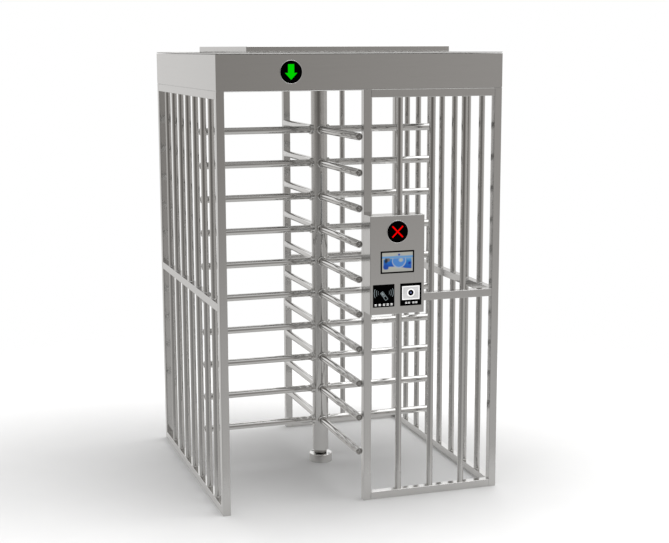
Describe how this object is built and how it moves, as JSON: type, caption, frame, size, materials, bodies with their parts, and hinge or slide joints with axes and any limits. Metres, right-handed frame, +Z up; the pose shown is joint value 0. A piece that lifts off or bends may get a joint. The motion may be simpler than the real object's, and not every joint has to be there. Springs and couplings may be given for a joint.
{
  "type": "full height turnstile",
  "caption": "Full-height rotor turnstile: a tube cage and sheet canopy around a turning column of horizontal arms, with a control box and signal lamps on the front.",
  "frame": {"origin": "on the floor at the rotor's axis, the centre of the floor socket's anchor circle", "axes": "+X to the right along the front, +Y to the rear, +Z up"},
  "size_m": [1.5, 1.5775, 2.334],
  "materials": {
    "satin_stainless": "satin stainless steel sheet and square tube",
    "polished_stainless": "mirror-polished stainless steel tube",
    "bright_chrome": "bright plated trim",
    "bearing_steel": "ground bearing steel",
    "zinc_plated_steel": "zinc plated steel",
    "blackened_steel": "oil-blackened steel",
    "nickel_brass": "nickel plated brass",
    "enclosure_paint": "light grey textured paint",
    "coil_black": "black enamelled coil housing",
    "black_plastic": "gloss black moulding",
    "lamp_black": "smoked lens over a lamp",
    "cable_rubber": "black cable sheath"
  },
  "bodies": {
    "frame": {"front_left_post": "satin_stainless", "front_right_post": "satin_stainless", "rear_left_post": "satin_stainless", "rear_right_post": "satin_stainless", "front_centre_post": "satin_stainless", "rear_centre_post": "satin_stainless", "left_panel_rails": "satin_stainless", "right_panel_rails": "satin_stainless", "front_panel_rails": "satin_stainless", "rear_panel_rails": "satin_stainless", "left_panel_bars": "polished_stainless", "right_panel_bars": "polished_stainless", "front_panel_bars": "polished_stainless", "rear_panel_bars": "polished_stainless", "front_fascia": "satin_stainless", "rear_fascia": "satin_stainless", "side_fascias": "satin_stainless", "roof_panel": "satin_stainless", "ceiling_panel": "satin_stainless", "head_beams": "zinc_plated_steel", "head_plate": "zinc_plated_steel", "head_bolts": "blackened_steel", "bearing_housing": "blackened_steel", "bearing_outer_race": "bearing_steel", "bearing_balls": "bearing_steel", "socket_bush": "black_plastic", "floor_socket": "satin_stainless", "damper_body": "zinc_plated_steel", "pawl_pins": "zinc_plated_steel", "solenoids": "coil_black", "turn_sensor": "nickel_brass", "controller_box": "enclosure_paint", "power_supply": "enclosure_paint", "signal_harness": "cable_rubber", "control_case": "satin_stainless", "case_back_plate": "zinc_plated_steel", "lamp_bezels": "bright_chrome", "arrow_lamp": "lamp_black", "cross_lamp": "lamp_black", "display": "black_plastic", "card_reader": "black_plastic", "code_reader": "black_plastic"},
    "rotor": {"spindle": "zinc_plated_steel", "rotor_column": "polished_stainless", "front_wing": "polished_stainless", "right_wing": "polished_stainless", "rear_wing": "polished_stainless", "left_wing": "polished_stainless", "arm_collars": "polished_stainless", "arm_end_caps": "polished_stainless", "pivot_spigot": "blackened_steel", "bearing_inner_race": "bearing_steel", "drive_gear": "blackened_steel", "lock_disc": "zinc_plated_steel"},
    "damper_pinion": {"damper_pinion": "blackened_steel"},
    "entry_pawl": {"entry_pawl": "blackened_steel"},
    "exit_pawl": {"exit_pawl": "blackened_steel"},
    "entry_plunger": {"entry_plunger": "bright_chrome"},
    "exit_plunger": {"exit_plunger": "bright_chrome"},
    "roof_cover": {"roof_cover": "satin_stainless"}
  },
  "joints": [
    {"name": "rotor_turn", "type": "hinge", "parent": "frame", "child": "rotor", "pos_m": [0, 0, 1.065], "axis": [0, 0, 1], "continuous": true},
    {"name": "damper_turn", "type": "hinge", "parent": "frame", "child": "damper_pinion", "pos_m": [0, -0.1, 2.213], "axis": [0, 0, 1], "continuous": true},
    {"name": "entry_pawl_swing", "type": "hinge", "parent": "frame", "child": "entry_pawl", "pos_m": [0.105, -0.05, 2.233], "axis": [0, 0, 1], "range_deg": [0, 10], "stiffness_Nm_per_rad": 0.5},
    {"name": "entry_plunger_slide", "type": "slide", "parent": "frame", "child": "entry_plunger", "axis": [1, 0, 0], "range_m": [0, 0.0064]},
    {"name": "exit_pawl_swing", "type": "hinge", "parent": "frame", "child": "exit_pawl", "pos_m": [-0.105, -0.05, 2.233], "axis": [0, 0, -1], "range_deg": [0, 10], "stiffness_Nm_per_rad": 0.5},
    {"name": "exit_plunger_slide", "type": "slide", "parent": "frame", "child": "exit_plunger", "axis": [-1, 0, 0], "range_m": [0, 0.0064]},
    {"name": "roof_cover_lift", "type": "slide", "parent": "frame", "child": "roof_cover", "axis": [0, 0, 1], "range_m": [0, 0.35]}
  ],
  "couplings": [
    {"joint": "damper_turn", "follows": "rotor_turn", "ratio": -3},
    {"joint": "entry_plunger_slide", "follows": "entry_pawl_swing", "m_per_rad": 0.0362},
    {"joint": "exit_plunger_slide", "follows": "exit_pawl_swing", "m_per_rad": 0.0362}
  ]
}
